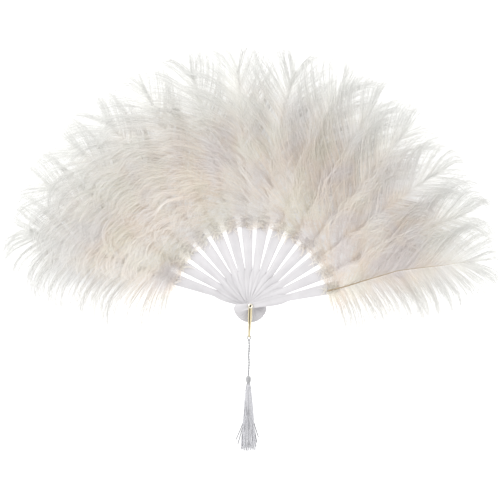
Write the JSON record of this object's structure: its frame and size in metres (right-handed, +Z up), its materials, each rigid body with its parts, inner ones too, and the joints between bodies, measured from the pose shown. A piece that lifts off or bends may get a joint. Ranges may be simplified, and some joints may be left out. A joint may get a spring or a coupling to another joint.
{
  "type": "ostrich feather hand fan",
  "caption": "Folding hand fan lying open on its back, with flat white plastic sticks on a brass eyelet, a pale fluffy ostrich plume on each stick, and a brass bail with a tassel.",
  "frame": {"origin": "on the pivot's axis at the flat underside of the eyelet's lower head, the height of the table that the open fan lies on", "axes": "+Z up out of the table, the fan's front facing +Z; +Y from the pivot towards the top of the open fan; +X towards the right-hand stick, which lies on top of the stack"},
  "size_m": [0.6406, 0.5196, 0.0363],
  "materials": {
    "stick_plastic": "satin white moulded plastic, slightly translucent",
    "plume": "soft matte barbs, warm ivory near the stick and paler at the tips, with a tan quill",
    "eyelet_brass": "bright pale brass",
    "bail_brass": "polished yellow brass strip",
    "tassel_cord": "twisted white rayon cord",
    "tassel_thread": "silky white rayon thread"
  },
  "bodies": {
    "leaf_01": {"stick_01": "stick_plastic", "plume_01": "plume"},
    "leaf_02": {"stick_02": "stick_plastic", "plume_02": "plume"},
    "leaf_03": {"stick_03": "stick_plastic", "plume_03": "plume"},
    "leaf_04": {"stick_04": "stick_plastic", "plume_04": "plume"},
    "leaf_05": {"stick_05": "stick_plastic", "plume_05": "plume"},
    "leaf_06": {"stick_06": "stick_plastic", "plume_06": "plume"},
    "leaf_07": {"pivot_pin": "eyelet_brass", "stick_07": "stick_plastic", "plume_07": "plume"},
    "leaf_08": {"stick_08": "stick_plastic", "plume_08": "plume"},
    "leaf_09": {"stick_09": "stick_plastic", "plume_09": "plume"},
    "leaf_10": {"stick_10": "stick_plastic", "plume_10": "plume"},
    "leaf_11": {"stick_11": "stick_plastic", "plume_11": "plume"},
    "leaf_12": {"stick_12": "stick_plastic", "plume_12": "plume"},
    "leaf_13": {"stick_13": "stick_plastic", "plume_13": "plume"},
    "leaf_14": {"stick_14": "stick_plastic", "plume_14": "plume"},
    "bail": {"bail": "bail_brass", "tassel_hitch": "tassel_cord", "tassel_cord": "tassel_cord", "tassel_head": "tassel_thread", "tassel_skirt": "tassel_thread"}
  },
  "joints": [
    {"name": "fan_fold", "type": "hinge", "parent": "leaf_07", "child": "leaf_14", "pos_m": [0, 0, 0], "axis": [0, 0, 1], "range_deg": [0, 79.9], "deforming": ["plume_14", "plume_07"]},
    {"name": "fold_01", "type": "hinge", "parent": "leaf_07", "child": "leaf_01", "pos_m": [0, 0, 0], "axis": [0, 0, 1], "range_deg": [-68.54, 0], "deforming": ["plume_01"]},
    {"name": "fold_02", "type": "hinge", "parent": "leaf_07", "child": "leaf_02", "pos_m": [0, 0, 0], "axis": [0, 0, 1], "range_deg": [-57.12, 0], "deforming": ["plume_02"]},
    {"name": "fold_03", "type": "hinge", "parent": "leaf_07", "child": "leaf_03", "pos_m": [0, 0, 0], "axis": [0, 0, 1], "range_deg": [-45.71, 0], "deforming": ["plume_03"]},
    {"name": "fold_04", "type": "hinge", "parent": "leaf_07", "child": "leaf_04", "pos_m": [0, 0, 0], "axis": [0, 0, 1], "range_deg": [-34.29, 0], "deforming": ["plume_04"]},
    {"name": "fold_05", "type": "hinge", "parent": "leaf_07", "child": "leaf_05", "pos_m": [0, 0, 0], "axis": [0, 0, 1], "range_deg": [-22.88, 0], "deforming": ["plume_05"]},
    {"name": "fold_06", "type": "hinge", "parent": "leaf_07", "child": "leaf_06", "pos_m": [0, 0, 0], "axis": [0, 0, 1], "range_deg": [-11.46, 0], "deforming": ["plume_06"]},
    {"name": "fold_08", "type": "hinge", "parent": "leaf_07", "child": "leaf_08", "pos_m": [0, 0, 0], "axis": [0, 0, 1], "range_deg": [0, 11.46], "deforming": ["plume_08"]},
    {"name": "fold_09", "type": "hinge", "parent": "leaf_07", "child": "leaf_09", "pos_m": [0, 0, 0], "axis": [0, 0, 1], "range_deg": [0, 22.88], "deforming": ["plume_09"]},
    {"name": "fold_10", "type": "hinge", "parent": "leaf_07", "child": "leaf_10", "pos_m": [0, 0, 0], "axis": [0, 0, 1], "range_deg": [0, 34.29], "deforming": ["plume_10"]},
    {"name": "fold_11", "type": "hinge", "parent": "leaf_07", "child": "leaf_11", "pos_m": [0, 0, 0], "axis": [0, 0, 1], "range_deg": [0, 45.71], "deforming": ["plume_11"]},
    {"name": "fold_12", "type": "hinge", "parent": "leaf_07", "child": "leaf_12", "pos_m": [0, 0, 0], "axis": [0, 0, 1], "range_deg": [0, 57.12], "deforming": ["plume_12"]},
    {"name": "fold_13", "type": "hinge", "parent": "leaf_07", "child": "leaf_13", "pos_m": [0, 0, 0], "axis": [0, 0, 1], "range_deg": [0, 68.54], "deforming": ["plume_13"]},
    {"name": "bail_swing", "type": "hinge", "parent": "leaf_07", "child": "bail", "pos_m": [0, 0, 0], "axis": [0, 0, 1], "range_deg": [-60, 60]}
  ],
  "couplings": [
    {"joint": "fold_01", "follows": "fan_fold", "ratio": -0.85714},
    {"joint": "fold_02", "follows": "fan_fold", "ratio": -0.71429},
    {"joint": "fold_03", "follows": "fan_fold", "ratio": -0.57143},
    {"joint": "fold_04", "follows": "fan_fold", "ratio": -0.42857},
    {"joint": "fold_05", "follows": "fan_fold", "ratio": -0.28571},
    {"joint": "fold_06", "follows": "fan_fold", "ratio": -0.14286},
    {"joint": "fold_08", "follows": "fan_fold", "ratio": 0.14286},
    {"joint": "fold_09", "follows": "fan_fold", "ratio": 0.28571},
    {"joint": "fold_10", "follows": "fan_fold", "ratio": 0.42857},
    {"joint": "fold_11", "follows": "fan_fold", "ratio": 0.57143},
    {"joint": "fold_12", "follows": "fan_fold", "ratio": 0.71429},
    {"joint": "fold_13", "follows": "fan_fold", "ratio": 0.85714}
  ]
}
